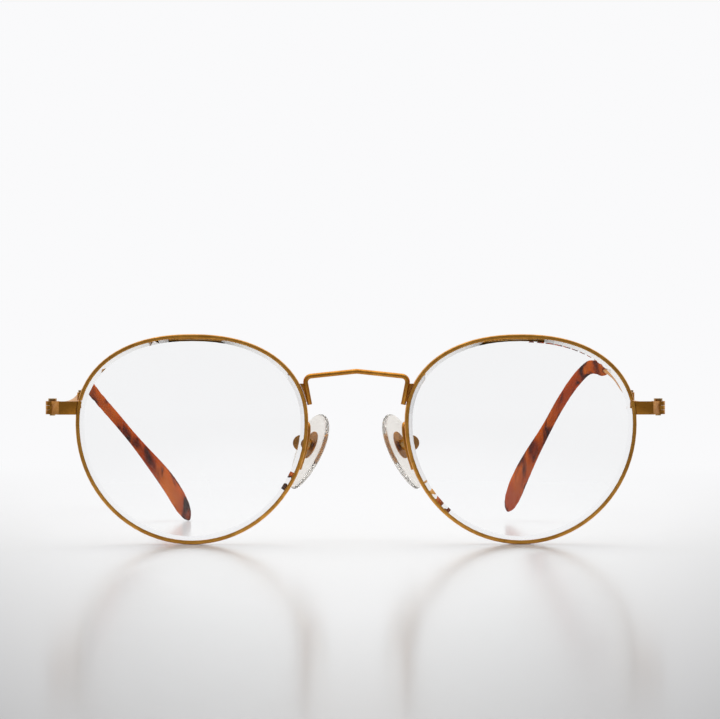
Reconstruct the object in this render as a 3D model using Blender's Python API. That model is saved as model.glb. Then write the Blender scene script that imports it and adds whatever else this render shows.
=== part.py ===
"""Round metal reading glasses with tortoiseshell temple tips, standing open on a surface.

Metres, +Z up. The glasses face -Y and the temples run back along +Y. X = 0 is the plane of symmetry,
Z = 0 is the surface that the two rims and the right temple tip rest on, and the origin is under the middle
of the whole object. Right and left are the wearer's, so the right side is at -X.
"""

import math

import bmesh
import bpy
from mathutils import Matrix, Vector

MM = 0.001

# The lens shape: half an ellipse below its widest line, half a fuller curve above it
EYE_SPACING = 36.0 * MM  # middle plane to the centre of a lens
EYE_HALF_WIDTH = 25.0 * MM  # to the middle of the rim's section
EYE_DROP = 26.0 * MM
EYE_RISE = 19.1 * MM
TOP_POWER = 2.25
RIM_HALF_BAND = 0.45 * MM
EYE_HEIGHT = EYE_DROP + RIM_HALF_BAND  # the rims stand on Z = 0
FRONT_Y = -59.86 * MM  # the foremost point, the middle of each lens
SIDES = {"right": -1, "left": 1}

# The lens: a weak positive meniscus
FRONT_CURVE = 110.0 * MM
BACK_CURVE = 164.0 * MM
LENS_MIDDLE = 2.06 * MM
BEVEL_INSET = 1.35 * MM
BEVEL_TIP = 0.08 * MM
LENS_RINGS = (0.36, 0.7)
LENS_STEPS = 72

# The rim: a flat strip with a V groove inside, split behind the end piece
RIM_HALF_DEPTH = 0.95 * MM
RIM_EDGE_BREAK = 0.14 * MM
RIM_FLAT_SHARE = 0.6  # of the half depth that is left flat between the broken edges
GROOVE_HALF_WIDTH = 0.5 * MM
GROOVE_FLOOR = 0.02 * MM
RIM_INNER = 0.4 * MM
RIM_STEPS = 84
SPLIT_HEIGHT = 5.0 * MM  # above the lens centre
SPLIT_GAP = 0.2 * MM
SEAT = 0.04 * MM  # between brazed or seated pieces
RUN = 0.05 * MM  # between pieces that turn on one another

# The rim lock behind the split
LOCK_RADIUS = 0.95 * MM
LOCK_HEIGHT = 1.7 * MM
LOCK_SCREW_RADIUS = 0.45 * MM
LOCK_HEAD_RADIUS = 0.72 * MM
LOCK_HEAD_HEIGHT = 0.45 * MM

# The bridge
BRIDGE_RADIUS = 0.57 * MM
BRIDGE_PEAK = (0.0 * MM, 37.9 * MM)
BRIDGE_CORNER = (11.4 * MM, 36.7 * MM)
BRIDGE_LEG_END = (10.25 * MM, 30.6 * MM)
BRIDGE_CORNER_RADIUS = 1.3 * MM
BRIDGE_PEAK_RADIUS = 3.0 * MM
BRIDGE_FORWARD = 0.9 * MM  # how far the peak stands ahead of the legs
BRIDGE_BEND_STEPS = 6
FOOT_LOW = 31.2 * MM
FOOT_HIGH = 35.2 * MM
FOOT_DEPTH = 0.9 * MM
FOOT_REACH = 2.6 * MM  # from the leg into the rim, which is then cut away

# The end piece and the hinge
PLATE_THICKNESS = 1.1 * MM
PLATE_LOW = 28.4 * MM
PLATE_HEIGHT = 2.9 * MM
PLATE_SETBACK = 0.3 * MM  # behind the front edge of the rim
PLATE_BEND_X = 65.1 * MM
PLATE_END_X = 66.9 * MM
PLATE_BEND_SHARE = 0.75  # of the thickness, which the bent leg keeps to either side of its middle
HINGE_X = 67.15 * MM
HINGE_BACK = 7.6 * MM  # behind the foremost point
BARREL_RADIUS = 1.5 * MM
KNUCKLE_GAP = 0.06 * MM
HINGE_SCREW_RADIUS = 0.62 * MM
HINGE_HEAD_RADIUS = 0.95 * MM
HINGE_HEAD_HEIGHT = 0.55 * MM
SCREW_TAIL = 0.3 * MM
DRIVER_SLOT = 0.25 * MM

# The temples, as places along their middle lines: out from the middle plane, back from the foremost
# point, up. The two are bent a little differently, and the left tip stands just clear of the surface.
TEMPLE_LINES = {
    "right": (
        (67.1, 9.3, 29.95),
        (67.1, 28.0, 29.8),
        (67.0, 46.0, 30.3),
        (66.8, 62.0, 32.3),
        (66.5, 79.0, 35.1),
        (66.3, 90.5, 36.4),
        (66.2, 98.0, 35.3),
        (65.3, 103.0, 31.6),
        (59.7, 108.0, 24.3),
        (53.7, 112.0, 16.6),
        (48.9, 115.0, 10.3),
        (45.9, 116.6, 5.5),
        (43.2, 117.6, 0.15),
    ),
    "left": (
        (67.1, 9.3, 29.95),
        (67.1, 28.0, 29.8),
        (67.1, 46.0, 30.4),
        (67.0, 62.0, 32.7),
        (66.4, 76.0, 35.5),
        (64.7, 85.0, 37.0),
        (62.8, 92.0, 37.1),
        (60.6, 100.0, 33.6),
        (57.9, 105.5, 28.3),
        (54.8, 110.0, 21.5),
        (51.9, 113.0, 15.6),
        (49.2, 115.4, 9.4),
        (46.7, 117.4, 2.2),
    ),
}
TEMPLE_STEPS = 5  # between two places
ARM_HALF_THICKNESS = 0.55 * MM
ARM_HALF_HEIGHT = 1.05 * MM
ARM_POWER = 5.0
ARM_STEPS = 12
CORE_RADIUS = 0.55 * MM
SWAGE_START, SWAGE_END = 0.42, 0.54  # share of the temple over which the bar becomes the round core
SLEEVE_START = 0.56
SLEEVE_MOUTH = 0.012  # share over which the sleeve swells from its mouth
CORE_END = 0.94
CORE_FIT = 0.05 * MM
TIP_HALF_THICKNESS = 1.02 * MM
TIP_HALF_HEIGHT = 1.6 * MM
MOUTH_SIZE = 0.78  # of the full section
PADDLE_START = 0.8
PADDLE_SHARE = 0.955  # where the paddle is widest and starts to round off
PADDLE_HALF_THICKNESS = 1.85 * MM
PADDLE_HALF_HEIGHT = 3.0 * MM
PADDLE_CLOSING = (0, 25, 45, 60, 75, 90)  # degrees round the end
PADDLE_END_SIZE = 0.12
TIP_POWER = 2.4
TIP_STEPS = 16
TONGUE_LENGTH = 2.6 * MM
TONGUE_HALF_WIDTH = 0.5 * MM

# The nose pads. Their own axes: across, up the pad, and out towards the nose
PAD_CENTRE = (10.525 * MM, 10.5 * MM, 19.945 * MM)  # out, back, up
PAD_TOP_LEAN = (-6.9, 0.0, 16.3)
PAD_SPLAY = math.radians(45)
PAD_HALF_LENGTH = 9.15 * MM
PAD_HALF_WIDTH = 4.35 * MM
PAD_EGG = 0.2
PAD_STEPS = 32
PAD_SKIN = (  # share of the outline, height towards the nose in millimetres
    (0.66, -0.4),
    (0.76, -0.8),
    (0.92, -0.78),
    (1.0, -0.2),
    (0.97, 0.35),
    (0.82, 0.75),
    (0.45, 0.98),
)
PIVOT_UP = 1.58 * MM  # the pad screw, above the middle of the pad
PIVOT_BACK = 2.0 * MM  # and behind it
INSERT_HALF_WIDTH = 1.7 * MM
INSERT_HALF_LENGTH = 3.2 * MM
INSERT_THICKNESS = 0.45 * MM
INSERT_LIFT = 1.85 * MM  # above the pad screw, towards the nose
TAB_HALF_WIDTH = 0.42 * MM
TAB_HALF_HEIGHT = 0.85 * MM
TAB_END = 0.55 * MM
BOX_HALF_WIDTH = 1.0 * MM
BOX_HALF_HEIGHT = 1.2 * MM
BOX_MOUTH = 0.8 * MM
BOX_FLOOR = 0.85 * MM
BOX_BACK = 1.15 * MM
PAD_SCREW_RADIUS = 0.36 * MM
PAD_HEAD_RADIUS = 0.6 * MM
PAD_HEAD_HEIGHT = 0.35 * MM

# The pad arm, with places given like the temple's, and the round plate that it ends in
ARM_WIRE_RADIUS = 0.42 * MM
PAD_ARM_LINE = (
    (12.5, 4.85, 16.3),
    (11.25, 4.85, 20.2),
    (10.6, 4.85, 23.4),
    (10.45, 5.0, 25.5),
    (10.7, 5.8, 26.4),
    (11.3, 6.55, 25.8),
    (12.0, 6.7, 24.2),
    (12.3, 6.7, 22.6),
)
PAD_ARM_STEPS = 3  # between two places
PLATE_DISC_RADIUS = 1.75 * MM
PLATE_DISC_THICKNESS = 0.7 * MM
PLATE_DISC_CENTRE = (12.4 * MM, 6.7 * MM, 22.1 * MM)

ROUND_STEPS = 24
CUT_MARGIN = 1.0 * MM
MERGE = 0.001 * MM
SHARP_ANGLE = math.radians(40)


def clear_scene():
    for item in list(bpy.data.objects):
        bpy.data.objects.remove(item, do_unlink=True)


def new_collection(name):
    made = bpy.data.collections.new(name)
    bpy.context.scene.collection.children.link(made)
    return made


def new_material(name, colour, roughness, metallic, transmission=0.0):
    made = bpy.data.materials.new(name)
    made.use_nodes = True
    shader = made.node_tree.nodes["Principled BSDF"]
    shader.inputs["Base Color"].default_value = (*colour, 1.0)
    shader.inputs["Roughness"].default_value = roughness
    shader.inputs["Metallic"].default_value = metallic
    shader.inputs["Transmission Weight"].default_value = transmission
    return made


def mesh_object(name, shape, place=None):
    """A mesh object made from a bmesh, with its faces out."""
    bmesh.ops.recalc_face_normals(shape, faces=shape.faces)
    mesh = bpy.data.meshes.new(name)
    shape.to_mesh(mesh)
    shape.free()
    made = bpy.data.objects.new(name, mesh)
    if place is not None:
        made.matrix_world = place
    return made


def finish_part(made, material):
    """Puts a part in the model, with its material, and shades its round faces smooth."""
    made.data.materials.append(material)
    model.objects.link(made)
    if made.type == "MESH":
        made.data.shade_smooth()
        made.data.set_sharp_from_angle(angle=SHARP_ANGLE)
    return made


def as_cutter(made):
    cutters.objects.link(made)
    made.hide_render = True
    made.display_type = "WIRE"
    return made


def boolean(target, operation, other):
    step = target.modifiers.new(f"{operation.lower()} {other.name}", "BOOLEAN")
    step.operation = operation
    step.object = other


def cylinder(name, radius, low, high, centre=(0.0, 0.0), steps=ROUND_STEPS, place=None):
    """An upright cylinder between two heights."""
    shape = bmesh.new()
    middle = Matrix.Translation((centre[0], centre[1], (low + high) / 2))
    bmesh.ops.create_cone(
        shape, cap_ends=True, segments=steps, radius1=radius, radius2=radius, depth=high - low, matrix=middle
    )
    return mesh_object(name, shape, place)


def block(name, low, high, place=None):
    """A box between two corners."""
    low, high = Vector(low), Vector(high)
    shape = bmesh.new()
    size = Matrix.Diagonal((*(high - low), 1.0))
    bmesh.ops.create_cube(shape, size=1.0, matrix=Matrix.Translation((low + high) / 2) @ size)
    return mesh_object(name, shape, place)


def loft(name, rings, place=None):
    """A closed skin through rings of points; a ring of one point closes an end."""
    shape = bmesh.new()
    rows = [[shape.verts.new(point) for point in ring] for ring in rings]
    for row, following in zip(rows, rows[1:]):
        count = max(len(row), len(following))
        for step in range(count):
            corners = [
                row[step % len(row)],
                row[(step + 1) % len(row)],
                following[(step + 1) % len(following)],
                following[step % len(following)],
            ]
            shape.faces.new(list(dict.fromkeys(corners)))
    for row in (rows[0], rows[-1]):
        if len(row) > 1:
            shape.faces.new(row)
    return mesh_object(name, shape, place)


def wire_curve(name, points, radius, closed=False):
    """A round wire through the points, with filled ends."""
    data = bpy.data.curves.new(name, "CURVE")
    data.dimensions = "3D"
    data.bevel_depth = radius
    data.bevel_resolution = 2
    data.use_fill_caps = True
    spline = data.splines.new("POLY")
    spline.points.add(len(points) - 1)
    for target, point in zip(spline.points, points):
        target.co = (*point, 1.0)
    spline.use_cyclic_u = closed
    return bpy.data.objects.new(name, data)


def flat_plate(name, outline, thickness, place):
    """A flat outline in its own XY plane, with its thickness centred on that plane."""
    data = bpy.data.curves.new(name, "CURVE")
    data.dimensions = "2D"
    data.fill_mode = "BOTH"
    data.extrude = thickness / 2
    spline = data.splines.new("POLY")
    spline.points.add(len(outline) - 1)
    for target, point in zip(spline.points, outline):
        target.co = (point[0], point[1], 0.0, 1.0)
    spline.use_cyclic_u = True
    made = bpy.data.objects.new(name, data)
    made.matrix_world = place
    return made


def curve_to_mesh(curve):
    """The curve's closed mesh as an object of its own; the curve is removed."""
    cutters.objects.link(curve)
    bpy.context.view_layer.update()
    seen = curve.evaluated_get(bpy.context.evaluated_depsgraph_get())
    mesh = bpy.data.meshes.new_from_object(seen)
    name, place = curve.name, curve.matrix_world.copy()
    bpy.data.objects.remove(curve, do_unlink=True)
    shape = bmesh.new()
    shape.from_mesh(mesh)
    bmesh.ops.remove_doubles(shape, verts=shape.verts, dist=MERGE)
    bpy.data.meshes.remove(mesh)
    return mesh_object(name, shape, place)


def place_of(side, point, unit=1.0):
    """World place of a point given as out from the middle plane, back from the foremost point, up."""
    return Vector((side * point[0] * unit, FRONT_Y + point[1] * unit, point[2] * unit))


def smooth_line(points, steps):
    """A Catmull-Rom line through the points."""
    padded = [2 * points[0] - points[1], *points, 2 * points[-1] - points[-2]]
    line = []
    for before, start, end, after in zip(padded, padded[1:], padded[2:], padded[3:]):
        for step in range(steps):
            t = step / steps
            line.append(
                0.5
                * (
                    2 * start
                    + (end - before) * t
                    + (2 * before - 5 * start + 4 * end - after) * t**2
                    + (3 * start - before - 3 * end + after) * t**3
                )
            )
    return [*line, points[-1]]


def rounded_line(points, radii, steps):
    """A line with each inner corner turned into an arc of its radius."""
    line = [points[0]]
    for before, corner, after, radius in zip(points, points[1:], points[2:], radii):
        come = (before - corner).normalized()
        go = (after - corner).normalized()
        half = come.angle(go) / 2
        centre = corner + (come + go).normalized() * radius / math.sin(half)
        start = corner + come * radius / math.tan(half) - centre
        turn = come.cross(go).normalized()
        sweep = math.pi - 2 * half
        for step in range(steps + 1):
            spin = Matrix.Rotation(-sweep * step / steps, 3, turn)
            line.append(centre + spin @ start)
    return [*line, points[-1]]


def oval_ring(centre, across, upright, half_across, half_upright, power, steps):
    """Points of a superellipse around a centre, from a circle at power 2 to a box at high powers."""
    ring = []
    for step in range(steps):
        angle = 2 * math.pi * (step + 0.5) / steps
        c, s = math.cos(angle), math.sin(angle)
        out = math.copysign(abs(c) ** (2 / power), c) * half_across
        up = math.copysign(abs(s) ** (2 / power), s) * half_upright
        ring.append(centre + across * out + upright * up)
    return ring


def eye_point(angle, grow):
    """A point of the lens shape, from its centre, with the shape grown by a distance."""
    c, s = math.cos(angle), math.sin(angle)
    if s < 0:
        return (EYE_HALF_WIDTH + grow) * c, (EYE_DROP + grow) * s
    bend = 2 / TOP_POWER
    return (EYE_HALF_WIDTH + grow) * math.copysign(abs(c) ** bend, c), (EYE_RISE + grow) * s**bend


def sag(out, up, radius):
    """How far a sphere's surface falls back at a distance from its axis."""
    return radius - math.sqrt(radius**2 - out**2 - up**2)


def edge_middle(angle):
    """Distance back of the middle of the lens edge, which the groove of the rim follows."""
    out, up = eye_point(angle, -BEVEL_INSET)
    return (sag(out, up, FRONT_CURVE) + LENS_MIDDLE + sag(out, up, BACK_CURVE)) / 2


def eye_place(side, out, up, back):
    """World place of a point of the lens shape; out is away from the nose."""
    return Vector((side * (EYE_SPACING + out), FRONT_Y + back, EYE_HEIGHT + up))


def rim_clearance(side, grow):
    """A cutter that fills one rim out to its outer edge."""
    angles = [2 * math.pi * step / RIM_STEPS for step in range(RIM_STEPS)]
    outline = [(side * eye_point(angle, grow)[0], eye_point(angle, grow)[1]) for angle in angles]
    upright = Matrix.Translation((side * EYE_SPACING, FRONT_Y, EYE_HEIGHT)) @ Matrix.Rotation(
        math.radians(90), 4, "X"
    )
    name = f"rim_clearance_{side_name(side)}"
    return as_cutter(curve_to_mesh(flat_plate(name, outline, 2 * HINGE_BACK, upright)))


def side_name(side):
    return "left" if side > 0 else "right"


def make_lens(side):
    angles = [2 * math.pi * step / LENS_STEPS for step in range(LENS_STEPS)]
    shoulders = [eye_point(angle, -BEVEL_INSET) for angle in angles]

    def surface(curve, start):
        yield [eye_place(side, 0.0, 0.0, start)]
        for share in (*LENS_RINGS, 1.0):
            ring = [(out * share, up * share) for out, up in shoulders]
            yield [eye_place(side, out, up, start + sag(out, up, curve)) for out, up in ring]

    tips = [eye_point(angle, -BEVEL_TIP) for angle in angles]
    edge = [eye_place(side, out, up, edge_middle(angle)) for angle, (out, up) in zip(angles, tips)]
    front = list(surface(FRONT_CURVE, 0.0))
    back = list(surface(BACK_CURVE, LENS_MIDDLE))
    finish_part(loft(f"lens_{side_name(side)}", [*front, edge, *reversed(back)]), clear_glass)


def split_angle():
    return math.asin((SPLIT_HEIGHT / EYE_RISE) ** (TOP_POWER / 2))


def make_rim(side):
    half_gap = SPLIT_GAP / 2 / EYE_HALF_WIDTH
    start = split_angle() + half_gap
    sweep = 2 * math.pi - 2 * half_gap
    section = (
        (RIM_HALF_BAND, RIM_HALF_DEPTH * RIM_FLAT_SHARE),
        (RIM_HALF_BAND - RIM_EDGE_BREAK, RIM_HALF_DEPTH),
        (-RIM_INNER, RIM_HALF_DEPTH),
        (-RIM_INNER, GROOVE_HALF_WIDTH),
        (-GROOVE_FLOOR, 0.0),
        (-RIM_INNER, -GROOVE_HALF_WIDTH),
        (-RIM_INNER, -RIM_HALF_DEPTH),
        (RIM_HALF_BAND - RIM_EDGE_BREAK, -RIM_HALF_DEPTH),
        (RIM_HALF_BAND, -RIM_HALF_DEPTH * RIM_FLAT_SHARE),
    )
    rings = []
    for step in range(RIM_STEPS + 1):
        angle = start + sweep * step / RIM_STEPS
        back = edge_middle(angle)
        rings.append([eye_place(side, *eye_point(angle, grow), back + deep) for grow, deep in section])
    finish_part(loft(f"rim_{side_name(side)}", rings), gold)


def make_bridge():
    def at(point, ahead=0.0):
        return Vector((point[0], FRONT_Y + edge_middle(math.pi) - ahead, point[1]))

    half = [
        at(BRIDGE_LEG_END),
        at(BRIDGE_CORNER, BRIDGE_FORWARD / 2),
        at(BRIDGE_PEAK, BRIDGE_FORWARD),
    ]
    other = [Vector((-point.x, point.y, point.z)) for point in reversed(half[:-1])]
    radii = (BRIDGE_CORNER_RADIUS, BRIDGE_PEAK_RADIUS, BRIDGE_CORNER_RADIUS)
    line = rounded_line([*half, *other], radii, BRIDGE_BEND_STEPS)
    bridge = curve_to_mesh(wire_curve("bridge", line, BRIDGE_RADIUS))
    slope = (BRIDGE_CORNER[0] - BRIDGE_LEG_END[0]) / (BRIDGE_CORNER[1] - BRIDGE_LEG_END[1])
    levels = FOOT_LOW, FOOT_HIGH
    near = [(BRIDGE_LEG_END[0] + (level - BRIDGE_LEG_END[1]) * slope, level) for level in levels]
    outline = [near[0], (near[0][0] + FOOT_REACH, FOOT_LOW), (near[1][0] + FOOT_REACH, FOOT_HIGH), near[1]]
    upright = Matrix.Translation(at((0.0, 0.0))) @ Matrix.Rotation(math.radians(90), 4, "X")
    for side in SIDES.values():
        mirrored = [(side * x, z) for x, z in outline]
        foot = flat_plate(f"bridge_foot_{side_name(side)}", mirrored, FOOT_DEPTH, upright)
        boolean(bridge, "UNION", as_cutter(curve_to_mesh(foot)))
        boolean(bridge, "DIFFERENCE", rim_cutters[side])
    finish_part(bridge, gold)


def hinge_levels():
    """Lowest and highest point of each of the three knuckles, from the bottom."""
    height = (PLATE_HEIGHT - 2 * KNUCKLE_GAP) / 3
    lows = [PLATE_LOW + row * (height + KNUCKLE_GAP) for row in range(3)]
    return [(low, low + height) for low in lows]


def hinge_centre(side):
    return place_of(side, (HINGE_X, HINGE_BACK, 0.0)).to_2d()


def driver_slot(name, centre, radius, top, place=None):
    """A cutter for the slot in a screw head."""
    x, y = centre
    low = (x - radius - CUT_MARGIN, y - DRIVER_SLOT / 2, top - DRIVER_SLOT)
    high = (x + radius + CUT_MARGIN, y + DRIVER_SLOT / 2, top + CUT_MARGIN)
    return as_cutter(block(name, low, high, place))


def make_screw(name, centre, radius, low, high, head_radius, head_height, place=None):
    """An upright screw with its slotted head at the top."""
    screw = cylinder(name, radius, low, high + SEAT, centre, place=place)
    head_low, head_high = high, high + head_height
    head = cylinder(f"{name}_head", head_radius, head_low, head_high, centre, place=place)
    boolean(screw, "UNION", as_cutter(head))
    boolean(screw, "DIFFERENCE", driver_slot(f"{name}_slot", centre, head_radius, head_high, place))
    finish_part(screw, screw_metal)


def make_end_piece(side):
    name = side_name(side)
    front = edge_middle(0.0) - RIM_HALF_DEPTH + PLATE_SETBACK
    back = front + PLATE_THICKNESS
    reach = HINGE_BACK - BARREL_RADIUS + PLATE_THICKNESS / 2
    slant = PLATE_THICKNESS * PLATE_BEND_SHARE
    outline = [
        (EYE_SPACING + EYE_HALF_WIDTH - PLATE_THICKNESS, front),
        (PLATE_BEND_X, front),
        (PLATE_END_X + slant / 2, reach - slant / 2),
        (PLATE_END_X - slant / 2, reach + slant / 2),
        (PLATE_BEND_X - slant / 2, back),
        (EYE_SPACING + EYE_HALF_WIDTH - PLATE_THICKNESS, back),
    ]
    outline = [(side * x, FRONT_Y + y) for x, y in outline]
    flat = Matrix.Translation((0.0, 0.0, PLATE_LOW + PLATE_HEIGHT / 2))
    piece = curve_to_mesh(flat_plate(f"end_piece_{name}", outline, PLATE_HEIGHT, flat))
    levels = hinge_levels()
    centre = hinge_centre(side)
    low, high = levels[0][0], levels[2][1]
    barrel = as_cutter(cylinder(f"barrel_{name}", BARREL_RADIUS, low, high, centre))
    boolean(piece, "UNION", barrel)
    middle_low, middle_high = levels[1][0] - KNUCKLE_GAP, levels[1][1] + KNUCKLE_GAP
    reach_out = BARREL_RADIUS + 2 * KNUCKLE_GAP
    notch = cylinder(f"knuckle_notch_{name}", reach_out, middle_low, middle_high, centre)
    boolean(piece, "DIFFERENCE", as_cutter(notch))
    bore_low, bore_high = low - CUT_MARGIN, high + CUT_MARGIN
    bore = cylinder(f"hinge_bore_{name}", HINGE_SCREW_RADIUS + RUN, bore_low, bore_high, centre)
    boolean(piece, "DIFFERENCE", as_cutter(bore))
    boolean(piece, "DIFFERENCE", rim_cutters[side])
    finish_part(piece, gold)
    make_screw(
        f"hinge_screw_{name}",
        centre,
        HINGE_SCREW_RADIUS,
        low - SCREW_TAIL,
        high + SEAT,
        HINGE_HEAD_RADIUS,
        HINGE_HEAD_HEIGHT,
    )


def make_rim_lock(side):
    name = side_name(side)
    angle = split_angle()
    out, up = eye_point(angle, 0.0)
    back = edge_middle(angle) + RIM_HALF_DEPTH + SEAT + LOCK_RADIUS
    spot = eye_place(side, out, up, back)
    centre = spot.to_2d()
    halves = {
        "upper": (spot.z + SPLIT_GAP / 2, spot.z + SPLIT_GAP / 2 + LOCK_HEIGHT),
        "lower": (spot.z - SPLIT_GAP / 2 - LOCK_HEIGHT, spot.z - SPLIT_GAP / 2),
    }
    for half, (low, high) in halves.items():
        piece = cylinder(f"rim_lock_{half}_{name}", LOCK_RADIUS, low, high, centre)
        bore = cylinder(
            f"lock_bore_{half}_{name}",
            LOCK_SCREW_RADIUS + RUN,
            low - CUT_MARGIN,
            high + CUT_MARGIN,
            centre,
        )
        boolean(piece, "DIFFERENCE", as_cutter(bore))
        finish_part(piece, gold)
    make_screw(
        f"rim_lock_screw_{name}",
        centre,
        LOCK_SCREW_RADIUS,
        halves["lower"][0],
        halves["upper"][1] + SEAT,
        LOCK_HEAD_RADIUS,
        LOCK_HEAD_HEIGHT,
    )


def temple_frames(side):
    """Places along the temple with their share of its length and the two directions of its section."""
    line = smooth_line([place_of(side, point, MM) for point in TEMPLE_LINES[side_name(side)]], TEMPLE_STEPS)
    lengths = [0.0]
    for start, end in zip(line, line[1:]):
        lengths.append(lengths[-1] + (end - start).length)
    frames = []
    for index, point in enumerate(line):
        before, after = line[max(index - 1, 0)], line[min(index + 1, len(line) - 1)]
        along = (after - before).normalized()
        across = Vector((side, 0.0, 0.0))
        across = (across - along * across.dot(along)).normalized()
        frames.append((lengths[index] / lengths[-1], point, across, across.cross(along).normalized()))
    return frames


def frame_at(frames, share):
    """The temple's frame at any share of its length, between the two nearest ones."""
    for first, second in zip(frames, frames[1:]):
        if share <= second[0]:
            part = (share - first[0]) / (second[0] - first[0])
            return (share, *(a.lerp(b, part) for a, b in zip(first[1:], second[1:])))
    return frames[-1]


def ease(value):
    value = min(max(value, 0.0), 1.0)
    return value * value * (3 - 2 * value)


def blend(start, end, share):
    return start + (end - start) * share


def arm_ring(frame, grow=0.0):
    """Section of the metal arm, a flat bar that becomes the round core."""
    share, centre, across, upright = frame
    turn = ease((share - SWAGE_START) / (SWAGE_END - SWAGE_START))
    return oval_ring(
        centre,
        across,
        upright,
        blend(ARM_HALF_THICKNESS, CORE_RADIUS, turn) + grow,
        blend(ARM_HALF_HEIGHT, CORE_RADIUS, turn) + grow,
        blend(ARM_POWER, 2.0, turn),
        ARM_STEPS,
    )


def tip_ring(frame):
    """Section of the acetate tip, which swells to a paddle and rounds off at its end."""
    share, centre, across, upright = frame
    mouth = min((share - SLEEVE_START) / SLEEVE_MOUTH, 1.0)
    swell = ease((share - PADDLE_START) / (PADDLE_SHARE - PADDLE_START))
    past = max(share - PADDLE_SHARE, 0.0) / (1.0 - PADDLE_SHARE)
    close = math.sqrt(max(1.0 - past**2, 0.0))
    size = blend(MOUTH_SIZE, 1.0, mouth) * max(close, PADDLE_END_SIZE)
    thick = blend(TIP_HALF_THICKNESS, PADDLE_HALF_THICKNESS, swell) * size
    tall = blend(TIP_HALF_HEIGHT, PADDLE_HALF_HEIGHT, swell) * size
    return oval_ring(centre, across, upright, thick, tall, TIP_POWER, TIP_STEPS)


def make_temple(side):
    name = side_name(side)
    frames = temple_frames(side)
    centre = hinge_centre(side)
    pivot = Matrix.Translation((*centre, 0.0))
    core_shares = [frame[0] for frame in frames if frame[0] < CORE_END]
    core = [frame_at(frames, share) for share in (*core_shares, CORE_END)]
    arm = about(loft(f"temple_arm_{name}", [arm_ring(frame) for frame in core]), pivot)

    low, high = hinge_levels()[1]
    boolean(arm, "UNION", as_cutter(cylinder(f"knuckle_{name}", BARREL_RADIUS, low, high, centre)))
    x, y = centre
    tongue = block(
        f"tongue_{name}", (x - TONGUE_HALF_WIDTH, y, low), (x + TONGUE_HALF_WIDTH, y + TONGUE_LENGTH, high)
    )
    boolean(arm, "UNION", as_cutter(tongue))
    bore = cylinder(
        f"knuckle_bore_{name}", HINGE_SCREW_RADIUS + RUN, low - CUT_MARGIN, high + CUT_MARGIN, centre
    )
    boolean(arm, "DIFFERENCE", as_cutter(bore))
    finish_part(arm, gold)

    shares = [SLEEVE_START, SLEEVE_START + SLEEVE_MOUTH]
    shares += [frame[0] for frame in frames if SLEEVE_START + 2 * SLEEVE_MOUTH < frame[0] < PADDLE_SHARE]
    shares += [blend(PADDLE_SHARE, 1.0, math.sin(math.radians(angle))) for angle in PADDLE_CLOSING]
    tip = about(loft(f"temple_tip_{name}", [tip_ring(frame_at(frames, share)) for share in shares]), pivot)
    bored = [share for share in core_shares if share > SLEEVE_START - 3 * SLEEVE_MOUTH]
    channel = [frame_at(frames, share) for share in (*bored, CORE_END + SLEEVE_MOUTH / 4)]
    boolean(tip, "DIFFERENCE", as_cutter(loft(f"tip_bore_{name}", [arm_ring(f, CORE_FIT) for f in channel])))
    finish_part(tip, tortoiseshell)


def about(made, pivot):
    """Moves an object's origin to a pivot and leaves its shape where it is."""
    made.data.transform(pivot.inverted() @ made.matrix_world)
    made.matrix_world = pivot
    return made


def pad_frame(side):
    """Axes at the pad screw: X along the screw, Y up the pad, Z out towards the nose."""
    up = Vector((side * PAD_TOP_LEAN[0], PAD_TOP_LEAN[1], PAD_TOP_LEAN[2])).normalized()
    across = Vector((side * math.cos(PAD_SPLAY), math.sin(PAD_SPLAY), 0.0))
    across = -side * (across - up * across.dot(up)).normalized()
    out = across.cross(up).normalized()
    turn = Matrix((across, up, out)).transposed().to_4x4()
    centre = place_of(side, PAD_CENTRE)
    return Matrix.Translation(centre + up * PIVOT_UP - out * PIVOT_BACK) @ turn


def egg_ring(share, height):
    """The pad's outline around its own middle, wider at the top, at a height towards the nose."""
    ring = []
    for step in range(PAD_STEPS):
        angle = 2 * math.pi * step / PAD_STEPS
        c, s = math.cos(angle), math.sin(angle)
        across = PAD_HALF_WIDTH * s * (1 + PAD_EGG * c) * share
        up = PAD_HALF_LENGTH * c * share - PIVOT_UP
        ring.append(Vector((across, up, height * MM + PIVOT_BACK)))
    return ring


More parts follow.
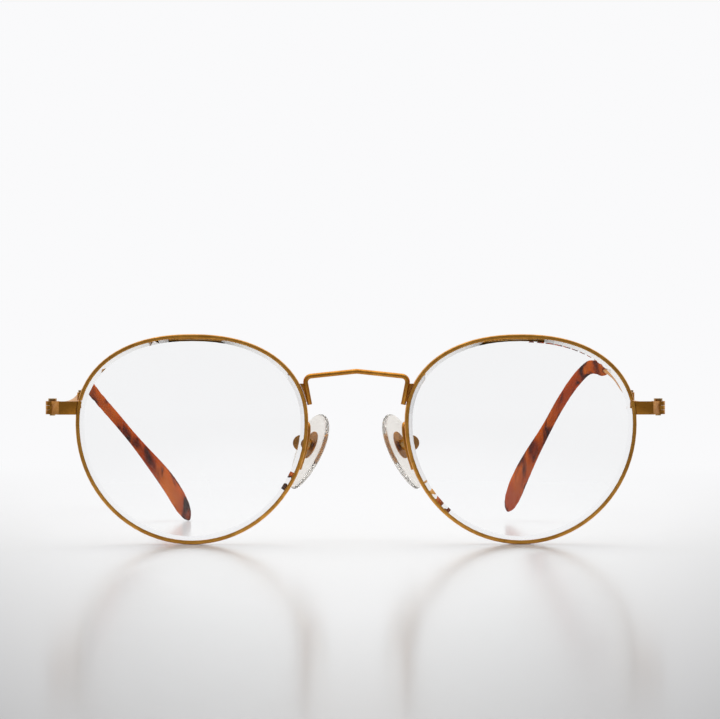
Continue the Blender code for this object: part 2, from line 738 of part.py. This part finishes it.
def make_nose_pad(side):
    name = side_name(side)
    frame = pad_frame(side)
    plain = Vector((1.0, 0.0, 0.0)), Vector((0.0, 1.0, 0.0))

    def insert(label, grow):
        low = Vector((0.0, 0.0, INSERT_LIFT - INSERT_THICKNESS / 2 - grow))
        high = Vector((0.0, 0.0, INSERT_LIFT + INSERT_THICKNESS / 2 + grow))
        sizes = INSERT_HALF_WIDTH + grow, INSERT_HALF_LENGTH + grow, 2.0, ROUND_STEPS
        return loft(label, [oval_ring(low, *plain, *sizes), oval_ring(high, *plain, *sizes)], frame)

    def tab(label, grow):
        low = (-TAB_HALF_WIDTH - grow, -TAB_HALF_HEIGHT - grow, -TAB_END - grow)
        high = (TAB_HALF_WIDTH + grow, TAB_HALF_HEIGHT + grow, INSERT_LIFT)
        return block(label, low, high, frame)

    core = insert(f"nose_pad_core_{name}", 0.0)
    boolean(core, "UNION", as_cutter(tab(f"tab_{name}", 0.0)))
    turn = frame @ Matrix.Rotation(math.radians(90), 4, "Y")
    span = BOX_HALF_WIDTH + CUT_MARGIN
    hole = as_cutter(cylinder(f"pad_screw_hole_{name}", PAD_SCREW_RADIUS + RUN, -span, span, place=turn))
    boolean(core, "DIFFERENCE", hole)
    finish_part(core, gold)

    pad = loft(f"nose_pad_{name}", [egg_ring(share, height) for share, height in PAD_SKIN], frame)
    boolean(pad, "DIFFERENCE", as_cutter(insert(f"insert_room_{name}", SEAT)))
    boolean(pad, "DIFFERENCE", as_cutter(tab(f"tab_room_{name}", SEAT)))
    finish_part(pad, clear_plastic)

    low = (-BOX_HALF_WIDTH, -BOX_HALF_HEIGHT, -BOX_BACK)
    high = (BOX_HALF_WIDTH, BOX_HALF_HEIGHT, BOX_MOUTH)
    box = block(f"pad_box_{name}", low, high, frame)
    slot = block(
        f"box_slot_{name}",
        (-TAB_HALF_WIDTH - RUN, -BOX_HALF_HEIGHT - CUT_MARGIN, -BOX_FLOOR),
        (TAB_HALF_WIDTH + RUN, BOX_HALF_HEIGHT + CUT_MARGIN, BOX_MOUTH + CUT_MARGIN),
        frame,
    )
    boolean(box, "DIFFERENCE", as_cutter(slot))
    boolean(box, "DIFFERENCE", hole)
    finish_part(box, gold)
    forward = turn @ Matrix.Rotation(math.radians(180), 4, "X") if (turn.col[2].y > 0) else turn
    make_screw(
        f"pad_screw_{name}",
        (0.0, 0.0),
        PAD_SCREW_RADIUS,
        -BOX_HALF_WIDTH,
        BOX_HALF_WIDTH + SEAT,
        PAD_HEAD_RADIUS,
        PAD_HEAD_HEIGHT,
        forward,
    )


def make_pad_arm(side):
    name = side_name(side)
    line = smooth_line([place_of(side, point, MM) for point in PAD_ARM_LINE], PAD_ARM_STEPS)
    arm = curve_to_mesh(wire_curve(f"pad_arm_{name}", line, ARM_WIRE_RADIUS))
    centre = place_of(side, PLATE_DISC_CENTRE)
    facing = Matrix.Translation(centre) @ Matrix.Rotation(math.radians(90), 4, "X")
    half = PLATE_DISC_THICKNESS / 2
    disc = cylinder(f"arm_disc_{name}", PLATE_DISC_RADIUS, -half, half, place=facing)
    boolean(arm, "UNION", as_cutter(disc))
    finish_part(arm, gold)


clear_scene()
model = new_collection("reading_glasses")
cutters = new_collection("cutters")
gold = new_material("brushed_gold", (0.36, 0.2, 0.07), 0.38, 1.0)
screw_metal = new_material("screw_gold", (0.42, 0.27, 0.12), 0.3, 1.0)
clear_glass = new_material("lens_glass", (1.0, 1.0, 1.0), 0.02, 0.0, 1.0)
clear_plastic = new_material("clear_plastic", (0.93, 0.9, 0.85), 0.08, 0.0, 0.9)
tortoiseshell = new_material("tortoiseshell", (0.3, 0.06, 0.012), 0.15, 0.0)

rim_cutters = {side: rim_clearance(side, RIM_HALF_BAND + SEAT) for side in SIDES.values()}
make_bridge()
for eye_side in SIDES.values():
    make_rim(eye_side)
    make_lens(eye_side)
    make_rim_lock(eye_side)
    make_end_piece(eye_side)
    make_temple(eye_side)
    make_pad_arm(eye_side)
    make_nose_pad(eye_side)
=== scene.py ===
import math
from collections import Counter

import bpy
from mathutils import Matrix, Vector


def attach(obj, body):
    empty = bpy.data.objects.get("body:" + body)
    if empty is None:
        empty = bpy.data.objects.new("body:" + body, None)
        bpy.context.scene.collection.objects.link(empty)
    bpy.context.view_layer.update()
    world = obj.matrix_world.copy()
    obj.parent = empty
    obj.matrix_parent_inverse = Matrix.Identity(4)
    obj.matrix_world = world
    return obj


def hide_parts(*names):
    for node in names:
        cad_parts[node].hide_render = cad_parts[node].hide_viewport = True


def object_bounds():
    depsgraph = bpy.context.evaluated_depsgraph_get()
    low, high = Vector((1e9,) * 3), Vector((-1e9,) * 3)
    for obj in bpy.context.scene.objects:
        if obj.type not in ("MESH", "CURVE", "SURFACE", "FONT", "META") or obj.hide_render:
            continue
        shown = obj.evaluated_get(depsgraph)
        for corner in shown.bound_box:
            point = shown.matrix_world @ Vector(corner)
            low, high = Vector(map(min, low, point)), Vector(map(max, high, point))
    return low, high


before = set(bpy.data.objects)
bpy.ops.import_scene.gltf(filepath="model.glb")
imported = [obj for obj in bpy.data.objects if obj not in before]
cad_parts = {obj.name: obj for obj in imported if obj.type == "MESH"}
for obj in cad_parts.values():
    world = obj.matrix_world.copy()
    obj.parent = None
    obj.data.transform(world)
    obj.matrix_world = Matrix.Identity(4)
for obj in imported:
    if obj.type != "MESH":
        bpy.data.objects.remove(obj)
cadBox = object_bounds()
mm = 0.001
sides = ("right", "left")


# Small tools
class Wire:
    # a socket in a node tree, or only the tree; sums on a socket add Math nodes
    def __init__(self, tree, socket=None):
        self.tree = tree
        self.socket = socket

    def node(self, kind, settings=None, sockets=None, output=0):
        made = self.tree.nodes.new(kind)
        for name, value in (settings or {}).items():
            if name == "stops":
                self.setStops(made.color_ramp, value)
            else:
                setattr(made, name, value)
        for name, value in (sockets or {}).items():
            if isinstance(value, Wire):
                self.tree.links.new(value.socket, made.inputs[name])
            else:
                made.inputs[name].default_value = value
        return Wire(self.tree, made.outputs[output] if made.outputs else None)

    def setStops(self, ramp, stops):
        while len(ramp.elements) < len(stops):
            ramp.elements.new(0.5)
        for element, (place, colour) in zip(ramp.elements, stops):
            element.position = place
            element.color = colour

    def maths(self, operation, first, second):
        return self.node("ShaderNodeMath", {"operation": operation}, {0: first, 1: second})

    def __add__(self, other):
        return self.maths("ADD", self, other)

    def __radd__(self, other):
        return self.maths("ADD", other, self)

    def __sub__(self, other):
        return self.maths("SUBTRACT", self, other)

    def __rsub__(self, other):
        return self.maths("SUBTRACT", other, self)

    def __mul__(self, other):
        return self.maths("MULTIPLY", self, other)

    def __rmul__(self, other):
        return self.maths("MULTIPLY", other, self)

    def __truediv__(self, other):
        return self.maths("DIVIDE", self, other)

    def __rtruediv__(self, other):
        return self.maths("DIVIDE", other, self)

    def mix(self, first, second):
        # a colour between two, by this value
        return self.node(
            "ShaderNodeMix", {"data_type": "RGBA"}, {"Factor": self, 6: first, 7: second}, output=2
        )

    def ramp(self, *stops):
        return self.node("ShaderNodeValToRGB", {"stops": stops}, {"Fac": self})

    def fadeIn(self, low, high):
        # a mask that is black up to low and white from high on
        return self.ramp((low, colour(0, 0, 0)), (high, colour(1, 1, 1)))


def newMaterial(name):
    material = bpy.data.materials.new(name)
    material.use_nodes = True
    material.node_tree.nodes.clear()
    return material, Wire(material.node_tree)


def closeMaterial(start, shader):
    start.node("ShaderNodeOutputMaterial", {}, {"Surface": shader})


def grain(start, scale, detail=4.0, stretch=(1.0, 1.0, 1.0), roughness=0.5):
    # noise on the object's own coordinates, finer or coarser along each axis
    place = start.node("ShaderNodeTexCoord", output=3)
    shaped = start.node("ShaderNodeMapping", {}, {"Vector": place, "Scale": stretch})
    sockets = {"Vector": shaped, "Scale": scale, "Detail": detail, "Roughness": roughness}
    return start.node("ShaderNodeTexNoise", {}, sockets)


def colour(*values):
    return (*values, 1.0)


# Materials
goldLooks = {
    "bright": colour(0.86, 0.42, 0.08),
    "deep": colour(0.5, 0.21, 0.03),
    "dark": colour(0.2, 0.08, 0.015),
    "roughness": 0.3,
    "roughnessSpread": 0.16,
    "brushScale": 900.0,
    "brushDetail": 3.0,
    "brushShare": 0.5,
    "brushStrength": 0.12,
    "brushDepth": 0.03 * mm,
    "cloudScale": 260.0,
    "cloudDetail": 3.0,
    "cloudFade": (0.35, 0.68),
    "cloudShare": 0.7,
    "speckScale": 1400.0,
    "speckDetail": 5.0,
    "speckFade": (0.55, 0.75),
    "speckShare": 0.35,
}


def brushedGold(name, stretch, paintedShade=0.0):
    # antique gold: fine brush lines along the wire, cloudy wear and darker specks of patina, with a painted
    # shade that makes this copy of the gold lighter or darker
    looks = goldLooks
    material, start = newMaterial(name)
    brush = grain(start, looks["brushScale"], looks["brushDetail"], stretch)
    cloud = grain(start, looks["cloudScale"], looks["cloudDetail"])
    patina = grain(start, looks["speckScale"], looks["speckDetail"]).fadeIn(*looks["speckFade"])
    worn = cloud.fadeIn(*looks["cloudFade"])
    # the shade value is painted shade: it darkens this copy of the gold, or lightens it when below zero
    depth = worn * looks["cloudShare"] + brush * looks["brushShare"] + paintedShade
    tone = depth.mix(looks["bright"], looks["deep"])
    tone = (patina * looks["speckShare"]).mix(tone, looks["dark"])
    sockets = {"Strength": looks["brushStrength"], "Distance": looks["brushDepth"], "Height": brush}
    bump = start.node("ShaderNodeBump", {}, sockets)
    sockets = {
        "Base Color": tone,
        "Metallic": 1.0,
        "Roughness": looks["roughness"] + brush * looks["roughnessSpread"],
        "Normal": bump,
    }
    closeMaterial(start, start.node("ShaderNodeBsdfPrincipled", {}, sockets))
    return material


screwLooks = {
    "bright": colour(0.6, 0.4, 0.18),
    "deep": colour(0.34, 0.2, 0.07),
    "turnScale": 1500.0,
    "turnDetail": 2.0,
    "turnStretch": (1.0, 1.0, 0.2),
    "roughness": 0.2,
    "roughnessSpread": 0.15,
}


def screwGold():
    looks = screwLooks
    material, start = newMaterial("screwGold")
    turned = grain(start, looks["turnScale"], looks["turnDetail"], looks["turnStretch"])
    sockets = {
        "Base Color": turned.mix(looks["bright"], looks["deep"]),
        "Metallic": 1.0,
        "Roughness": looks["roughness"] + turned * looks["roughnessSpread"],
    }
    closeMaterial(start, start.node("ShaderNodeBsdfPrincipled", {}, sockets))
    return material


glassLooks = {
    "tint": colour(0.992, 0.996, 0.996),
    "smearScale": 90.0,
    "smearDetail": 2.0,
    "smear": 0.006,
    "index": 1.5,
    "reflection": 0.04,  # the lenses show hardly any reflection
}


def lensGlass():
    looks = glassLooks
    material, start = newMaterial("lensGlass")
    smear = grain(start, looks["smearScale"], looks["smearDetail"])
    sockets = {
        "Base Color": looks["tint"],
        "Roughness": smear * looks["smear"],
        "IOR": looks["index"],
        "Transmission Weight": 1.0,
        "Specular IOR Level": looks["reflection"],
    }
    closeMaterial(start, start.node("ShaderNodeBsdfPrincipled", {}, sockets))
    return material


plasticLooks = {
    "clear": colour(0.97, 0.945, 0.9),
    "yellowed": colour(0.93, 0.895, 0.84),
    "hazeScale": 300.0,
    "hazeDetail": 3.0,
    "roughness": 0.14,
    "roughnessSpread": 0.06,
    "index": 1.36,
    "clearness": 0.9,
    "reflection": 0.3,
}


def clearPlastic():
    # moulded clear plastic, a little yellowed and hazy
    looks = plasticLooks
    material, start = newMaterial("clearPlastic")
    haze = grain(start, looks["hazeScale"], looks["hazeDetail"])
    sockets = {
        "Base Color": haze.mix(looks["clear"], looks["yellowed"]),
        "Roughness": looks["roughness"] + haze * looks["roughnessSpread"],
        "IOR": looks["index"],
        "Transmission Weight": looks["clearness"],
        "Specular IOR Level": looks["reflection"],
    }
    closeMaterial(start, start.node("ShaderNodeBsdfPrincipled", {}, sockets))
    return material


shellLooks = {
    "amber": colour(0.42, 0.05, 0.0005),
    "honey": colour(0.72, 0.15, 0.001),
    "red": colour(0.13, 0.012, 0.002),
    "brown": colour(0.028, 0.009, 0.006),
    "groundGrain": (150.0, 2.0, (1.2, 0.8, 0.45)),  # scale, detail and stretch
    "blotchGrain": (230.0, 3.0, (1.6, 0.8, 0.42), 0.45),
    "spotGrain": (520.0, 2.0, (1.3, 0.8, 0.5)),
    "groundRange": (0.38, 0.7),  # from amber to honey
    "redFade": (0.44, 0.56),
    "redShare": 0.9,
    "blotchShare": 0.75,
    "spotShare": 0.3,
    "darkFade": (0.53, 0.62),
    "darkShare": 0.95,
    "roughness": 0.22,
    "roughnessSpread": 0.08,
    "index": 1.4,
}


def tortoiseshell():
    # acetate: an amber and honey ground, with soft red and nearly black blotches
    looks = shellLooks
    material, start = newMaterial("tortoiseshell")
    ground = grain(start, *looks["groundGrain"])
    blotch = grain(start, *looks["blotchGrain"])
    spots = grain(start, *looks["spotGrain"])
    amberEnd, honeyEnd = looks["groundRange"]
    tone = ground.ramp((amberEnd, looks["amber"]), (honeyEnd, looks["honey"]))
    reddish = blotch.fadeIn(*looks["redFade"])
    dark = (blotch * looks["blotchShare"] + spots * looks["spotShare"]).fadeIn(*looks["darkFade"])
    tone = (reddish * looks["redShare"]).mix(tone, looks["red"])
    tone = (dark * looks["darkShare"]).mix(tone, looks["brown"])
    sockets = {
        "Base Color": tone,
        "Roughness": looks["roughness"] + spots * looks["roughnessSpread"],
        "IOR": looks["index"],
        "Specular IOR Level": 0.0,
    }
    closeMaterial(start, start.node("ShaderNodeBsdfPrincipled", {}, sockets))
    return material


# each gold has its own brushing, stretched along the piece, and its own painted shade, which makes one gold
# lighter or darker for each kind of piece
finishes = {
    "rim": brushedGold("rimGold", (1.0, 3.0, 1.0), -0.15),
    "wire": brushedGold("wireGold", (0.5, 1.0, 1.0), 0.45),
    "plate": brushedGold("plateGold", (0.12, 1.0, 3.0), 0.55),
    "temple": brushedGold("templeGold", (1.0, 0.1, 3.0), 0.1),
    "screw": screwGold(),
    "lens": lensGlass(),
    "pad": clearPlastic(),
    "shell": tortoiseshell(),
}
slotOf = dict.fromkeys(finishes, "brushed_gold")
slotOf.update(screw="screw_gold", lens="lens_glass", pad="clear_plastic", shell="tortoiseshell")
print("materials made")


# Pieces
joinWithin = 0.002 * mm


def deselectAll():
    if bpy.context.object and bpy.context.object.mode != "OBJECT":
        bpy.ops.object.mode_set(mode="OBJECT")
    bpy.ops.object.select_all(action="DESELECT")


def workOn(piece):
    deselectAll()
    piece.select_set(True)
    bpy.context.view_layer.objects.active = piece


def copyOf(node, name):
    # the solid's own shape, with its loose triangles joined
    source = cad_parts[node]
    piece = source.copy()
    piece.data = source.data.copy()
    piece.name = name
    bpy.context.scene.collection.objects.link(piece)
    piece.parent = None
    workOn(piece)
    bpy.ops.object.mode_set(mode="EDIT")
    bpy.ops.mesh.select_all(action="SELECT")
    bpy.ops.mesh.remove_doubles(threshold=joinWithin)
    bpy.ops.object.mode_set(mode="OBJECT")
    return piece


def applyModifiers(piece):
    workOn(piece)
    for modifier in list(piece.modifiers):
        bpy.ops.object.modifier_apply(modifier=modifier.name)


def settle(piece, node, body, finish):
    # hands a finished piece over: its material, the body it moves with and the solid it stands for
    piece.data.materials.clear()
    piece.data.materials.append(finishes[finish])
    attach(piece, body)
    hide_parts(node)


def dressMetal(node, body, finish, looks):
    # flat faces merged, edges broken, round faces shaded smooth
    piece = copyOf(node, f"{node}_finished")
    if looks["flat"]:
        bpy.ops.object.mode_set(mode="EDIT")
        bpy.ops.mesh.select_all(action="SELECT")
        bpy.ops.mesh.dissolve_limited(angle_limit=math.radians(looks["flat"]))
        bpy.ops.object.mode_set(mode="OBJECT")
    edges = piece.modifiers.new("edges", "BEVEL")
    edges.width = looks["edge"]
    edges.segments = looks["rounds"]
    edges.limit_method = "ANGLE"
    edges.angle_limit = math.radians(looks["sharp"])
    applyModifiers(piece)
    bpy.ops.object.shade_smooth_by_angle(angle=math.radians(looks["smooth"]))
    settle(piece, node, body, finish)


metalLooks = {"flat": 0.5, "edge": 0.06 * mm, "rounds": 2, "sharp": 35.0, "smooth": 34.0}
fineLooks = dict(metalLooks, edge=0.035 * mm)
plainLooks = dict(fineLooks, flat=0.0)  # for small round plates, which lose their edge when faces are merged

dressMetal("bridge", "front", "wire", metalLooks)
for side in sides:
    dressMetal(f"rim_{side}", "front", "rim", metalLooks)
    dressMetal(f"end_piece_{side}", "front", "plate", metalLooks)
    dressMetal(f"temple_arm_{side}", f"temple_{side}", "temple", metalLooks)
    dressMetal(f"pad_arm_{side}", "front", "wire", plainLooks)
    dressMetal(f"pad_box_{side}", "front", "wire", fineLooks)
    dressMetal(f"nose_pad_core_{side}", f"nose_pad_{side}_body", "wire", fineLooks)
    for half in ("upper", "lower"):
        dressMetal(f"rim_lock_{half}_{side}", "front", "plate", fineLooks)
    for screw in ("rim_lock_screw", "hinge_screw", "pad_screw"):
        dressMetal(f"{screw}_{side}", "front", "screw", fineLooks)
print("metal pieces made")


# The lenses: both faces are cast on spheres, so that what is behind them is bent evenly
lensLooks = {
    "front": 110.0 * mm,
    "back": 164.0 * mm,
    "middle": 2.06 * mm,
    "cuts": 3,
    "squareness": 0.9,  # how squarely a face has to look forwards or back to count as the lens's face
    "smooth": 20.0,
}


def setOrigin(place):
    bpy.context.scene.cursor.location = place
    bpy.ops.object.origin_set(type="ORIGIN_CURSOR")


def facesOf(piece, facing):
    return [face for face in piece.data.polygons if face.normal.y * facing > lensLooks["squareness"]]


def roundFace(piece, name, facing, centre, radius):
    # the lens face that looks one way is divided inside its edge and cast on a sphere
    bpy.ops.object.mode_set(mode="EDIT")
    bpy.ops.mesh.select_mode(type="EDGE")
    bpy.ops.mesh.select_all(action="DESELECT")
    bpy.ops.object.mode_set(mode="OBJECT")
    shared = Counter(key for face in facesOf(piece, facing) for key in face.edge_keys)
    for edge in piece.data.edges:
        edge.select = shared[edge.key] == 2
    bpy.ops.object.mode_set(mode="EDIT")
    bpy.ops.mesh.subdivide(number_cuts=lensLooks["cuts"], quadcorner="INNERVERT")
    bpy.ops.mesh.select_mode(type="VERT")
    bpy.ops.object.mode_set(mode="OBJECT")
    group = piece.vertex_groups.new(name=name)
    dome = {place for face in facesOf(piece, facing) for place in face.vertices}
    group.add(list(dome), 1.0, "REPLACE")
    setOrigin(centre)
    cast = piece.modifiers.new(name, "CAST")
    cast.cast_type = "SPHERE"
    cast.factor = 1.0
    cast.size = radius
    cast.use_radius_as_size = False
    cast.vertex_group = name
    applyModifiers(piece)


def makeLens(side):
    looks = lensLooks
    piece = copyOf(f"lens_{side}", f"lens_{side}_finished")
    apex = min((vertex.co for vertex in piece.data.vertices), key=lambda place: place.y).copy()
    roundFace(piece, "frontFace", -1, apex + Vector((0, looks["front"], 0)), looks["front"])
    setOrigin((0, 0, 0))
    behind = apex + Vector((0, looks["middle"] + looks["back"], 0))
    roundFace(piece, "backFace", 1, behind, looks["back"])
    setOrigin((0, 0, 0))
    piece.vertex_groups.clear()
    bpy.ops.object.shade_smooth_by_angle(angle=math.radians(looks["smooth"]))
    settle(piece, f"lens_{side}", "front", "lens")


# The tips: their triangles are paired again, so that they shade evenly
tipLooks = {"pairing": 60.0, "smooth": 50.0}


def makeTip(side):
    pairing = math.radians(tipLooks["pairing"])
    piece = copyOf(f"temple_tip_{side}", f"temple_tip_{side}_finished")
    bpy.ops.object.mode_set(mode="EDIT")
    bpy.ops.mesh.select_all(action="SELECT")
    bpy.ops.mesh.tris_convert_to_quads(face_threshold=pairing, shape_threshold=pairing)
    bpy.ops.object.mode_set(mode="OBJECT")
    bpy.ops.object.shade_smooth_by_angle(angle=math.radians(tipLooks["smooth"]))
    settle(piece, f"temple_tip_{side}", f"temple_{side}", "shell")


# The pads: a soft egg-shaped cushion moulded round its insert, hollowed a little behind
padLooks = {
    "centre": (10.525 * mm, 10.5 * mm, 19.945 * mm),  # out, back from the foremost point, up
    "lean": (-6.9, 0.0, 16.3),  # from the bottom of the pad to its top, for the left side
    "splay": 45.0,
    "halfWidth": 4.3 * mm,
    "halfLength": 9.1 * mm,
    "egg": 0.2,
    "steps": 48,
    "skin": (  # share of the outline, height towards the nose in millimetres
        (0.25, -0.42),
        (0.62, -0.42),
        (0.73, -0.72),
        (0.9, -0.76),
        (1.0, -0.2),
        (0.97, 0.35),
        (0.82, 0.75),
        (0.45, 0.95),
        (0.15, 0.97),
    ),
    "levels": 2,
}


def padPlace(side):
    # up the pad, across it, and out towards the nose
    looks = padLooks
    sign = 1 if side == "left" else -1
    lean = Vector(looks["lean"])
    up = Vector((sign * lean.x, lean.y, lean.z)).normalized()
    splay = math.radians(looks["splay"])
    across = Vector((sign * math.cos(splay), math.sin(splay), 0.0))
    across = -sign * (across - up * across.dot(up)).normalized()
    turn = Matrix((across, up, across.cross(up))).transposed().to_4x4()
    out, back, high = looks["centre"]
    return Matrix.Translation((sign * out, cadBox[0][1] + back, high)) @ turn


def makePad(side):
    looks = padLooks
    skin = looks["skin"]
    deselectAll()
    bpy.ops.mesh.primitive_circle_add(vertices=looks["steps"], radius=1.0, fill_type="NGON")
    piece = bpy.context.object
    piece.name = f"nose_pad_{side}_finished"
    share, height = skin[0]
    bpy.ops.object.mode_set(mode="EDIT")
    bpy.ops.mesh.select_all(action="SELECT")
    size = (looks["halfWidth"] * share, looks["halfLength"] * share, 1.0)
    bpy.ops.transform.resize(value=size, center_override=(0, 0, 0))
    bpy.ops.transform.translate(value=(0, 0, height * mm))
    for (before, low), (share, height) in zip(skin, skin[1:]):
        bpy.ops.mesh.extrude_region_move(TRANSFORM_OT_translate={"value": (0, 0, (height - low) * mm)})
        ratio = share / before
        bpy.ops.transform.resize(value=(ratio, ratio, 1.0), center_override=(0, 0, height * mm))
    bpy.ops.mesh.select_all(action="SELECT")
    bpy.ops.mesh.normals_make_consistent(inside=False)
    bpy.ops.object.mode_set(mode="OBJECT")
    for vertex in piece.data.vertices:
        vertex.co.x *= 1 + looks["egg"] * vertex.co.y / looks["halfLength"]  # wider at the top
    piece.matrix_world = padPlace(side)
    bpy.ops.object.transform_apply(location=True, rotation=True, scale=True)
    soft = piece.modifiers.new("soft", "SUBSURF")
    soft.levels = looks["levels"]
    soft.render_levels = looks["levels"]
    applyModifiers(piece)
    bpy.ops.object.shade_smooth()
    settle(piece, f"nose_pad_{side}", f"nose_pad_{side}_body", "pad")


for side in sides:
    makeLens(side)
    makeTip(side)
    makePad(side)
print("lenses, tips and pads made")


# The stage: a pale glossy table with a painted pool of light, a bright backdrop and soft light
stageLooks = {
    "tableSize": 6.0,
    "pool": (  # painted pool of light: the table's lightness by how far it is from the middle of the pool
        (0.0, colour(0.87, 0.87, 0.86)),
        (0.15, colour(0.84, 0.84, 0.83)),
        (0.22, colour(0.75, 0.75, 0.745)),
        (0.31, colour(0.52, 0.52, 0.515)),
        (0.42, colour(0.27, 0.27, 0.27)),
        (0.7, colour(0.12, 0.12, 0.12)),
    ),
    "poolBack": 0.05,
    "poolApex": (-0.013, -0.46),  # it is a fixed wedge, narrowing to the spot on the table below the camera
    "poolLean": 0.0325,
    "poolSpread": 1.3,
    "narrowest": 0.15,
    "tableRoughness": 0.16,
    "tableIndex": 1.45,
    "bright": colour(0.955, 0.955, 0.965),
    "room": colour(0.3, 0.3, 0.31),
    "roomFade": 0.35,
    "overhead": 0.9,
    "fade": (-0.12, 0.3),  # back from the middle, where the table melts into the backdrop
}


def makeTable():
    deselectAll()
    bpy.ops.mesh.primitive_plane_add(size=stageLooks["tableSize"], location=(0, 0, 0))
    table = bpy.context.object
    table.name = "table"
    material, start = newMaterial("paleTableWithPaintedPool")
    place = start.node("ShaderNodeTexCoord", output=3)
    across = start.node("ShaderNodeSeparateXYZ", {}, {"Vector": place}, output=0)
    back = Wire(material.node_tree, across.socket.node.outputs[1])
    apexAcross, apexBack = stageLooks["poolApex"]
    distance = start.maths("MAXIMUM", back - apexBack, stageLooks["narrowest"])
    slope = (across - apexAcross) / distance - stageLooks["poolLean"]
    sockets = {"X": slope * stageLooks["poolSpread"], "Y": back - stageLooks["poolBack"]}
    pool = start.node("ShaderNodeCombineXYZ", {}, sockets)
    away = start.node("ShaderNodeVectorMath", {"operation": "LENGTH"}, {0: pool}, output=1)
    # painted pool of light: the table's colour is lightest in a wedge in front of the glasses and darker
    # further out
    lit = away.ramp(*stageLooks["pool"])
    sockets = {
        "Base Color": lit,
        "Roughness": stageLooks["tableRoughness"],
        "IOR": stageLooks["tableIndex"],
    }
    gloss = start.node("ShaderNodeBsdfPrincipled", {}, sockets)
    glow = start.node("ShaderNodeEmission", {}, {"Color": stageLooks["bright"], "Strength": 1.0})
    near, far = stageLooks["fade"]
    sockets = {"Value": back, "From Min": near, "From Max": far}
    fade = start.node("ShaderNodeMapRange", {"interpolation_type": "SMOOTHSTEP"}, sockets)
    closeMaterial(start, start.node("ShaderNodeMixShader", {}, {0: fade, 1: gloss, 2: glow}))
    table.data.materials.append(material)


def makeWorld():
    world = bpy.data.worlds.new("studio")
    bpy.context.scene.world = world
    world.use_nodes = True
    world.node_tree.nodes.clear()
    start = Wire(world.node_tree)
    direction = start.node("ShaderNodeTexCoord", output=0)
    along = start.node("ShaderNodeSeparateXYZ", {}, {"Vector": direction}, output=1)
    up = Wire(world.node_tree, along.socket.node.outputs[2])
    lit = (along + up * stageLooks["overhead"]).fadeIn(0.0, stageLooks["roomFade"])
    sky = lit.mix(stageLooks["room"], stageLooks["bright"])
    back = start.node("ShaderNodeBackground", {}, {"Color": sky, "Strength": 1.0})
    start.node("ShaderNodeOutputWorld", {}, {"Surface": back})


cameraLooks = {
    "place": (-13.0 * mm, -400.0 * mm, 37.5 * mm),  # from the foremost point of the front, on the table
    "aim": (-8.8 * mm, 0.0, 40.45 * mm),
    "lens": 91.95,
    "shift": 0.0604,
    "film": 36.0,
    "nearest": 0.01,
    "farthest": 50.0,
}


def makeCamera():
    data = bpy.data.cameras.new("camera")
    data.lens = cameraLooks["lens"]
    data.shift_x = cameraLooks["shift"]
    data.sensor_width = cameraLooks["film"]
    data.clip_start = cameraLooks["nearest"]
    data.clip_end = cameraLooks["farthest"]
    camera = bpy.data.objects.new("camera", data)
    bpy.context.scene.collection.objects.link(camera)
    front = Vector((0.0, cadBox[0][1], 0.0))
    place = front + Vector(cameraLooks["place"])
    aim = front + Vector(cameraLooks["aim"])
    camera.location = place
    camera.rotation_euler = (aim - place).to_track_quat("-Z", "Y").to_euler()
    bpy.context.scene.camera = camera


lightLooks = {"width": 0.9, "depth": 0.6, "power": 3.0, "place": (0.0, 0.1, 0.9)}


def makeLight():
    # one soft panel straight overhead, facing down
    data = bpy.data.lights.new("softTop", "AREA")
    data.shape = "RECTANGLE"
    data.size = lightLooks["width"]
    data.size_y = lightLooks["depth"]
    data.energy = lightLooks["power"]
    light = bpy.data.objects.new("softTop", data)
    bpy.context.scene.collection.objects.link(light)
    light.location = lightLooks["place"]


makeTable()
makeWorld()
makeCamera()
makeLight()
bpy.context.scene.view_settings.view_transform = "Standard"
print("stage made")
